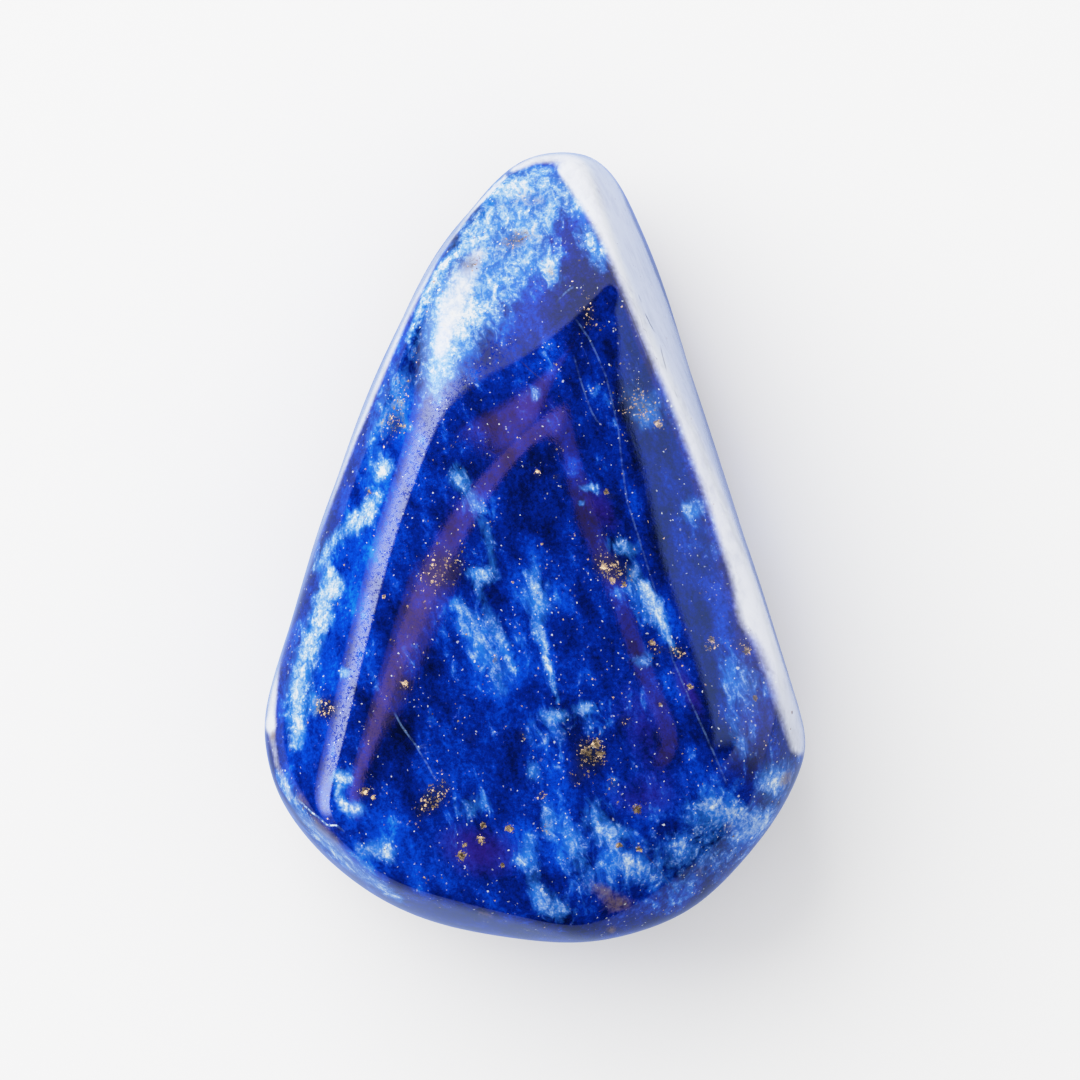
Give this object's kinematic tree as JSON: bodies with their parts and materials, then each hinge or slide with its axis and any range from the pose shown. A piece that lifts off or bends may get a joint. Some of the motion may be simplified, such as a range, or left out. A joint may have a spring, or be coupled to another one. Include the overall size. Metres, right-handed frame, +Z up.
{
  "type": "tumbled lapis lazuli stone",
  "caption": "Tumble-polished lapis lazuli pebble: a deep blue, tapering stone with soft facets, white calcite clouds and pyrite flecks.",
  "frame": {"origin": "centre of the bounding box's bottom face, on the surface that the stone rests on", "axes": "+Z up from the flat spot, +Y along the stone from its broad heel to its narrow tip, +X to the right seen from above with the tip away"},
  "size_m": [0.022, 0.032, 0.0134],
  "materials": {
    "lapis": "polished"
  },
  "bodies": {
    "root": {"stone": "lapis"}
  },
  "joints": []
}
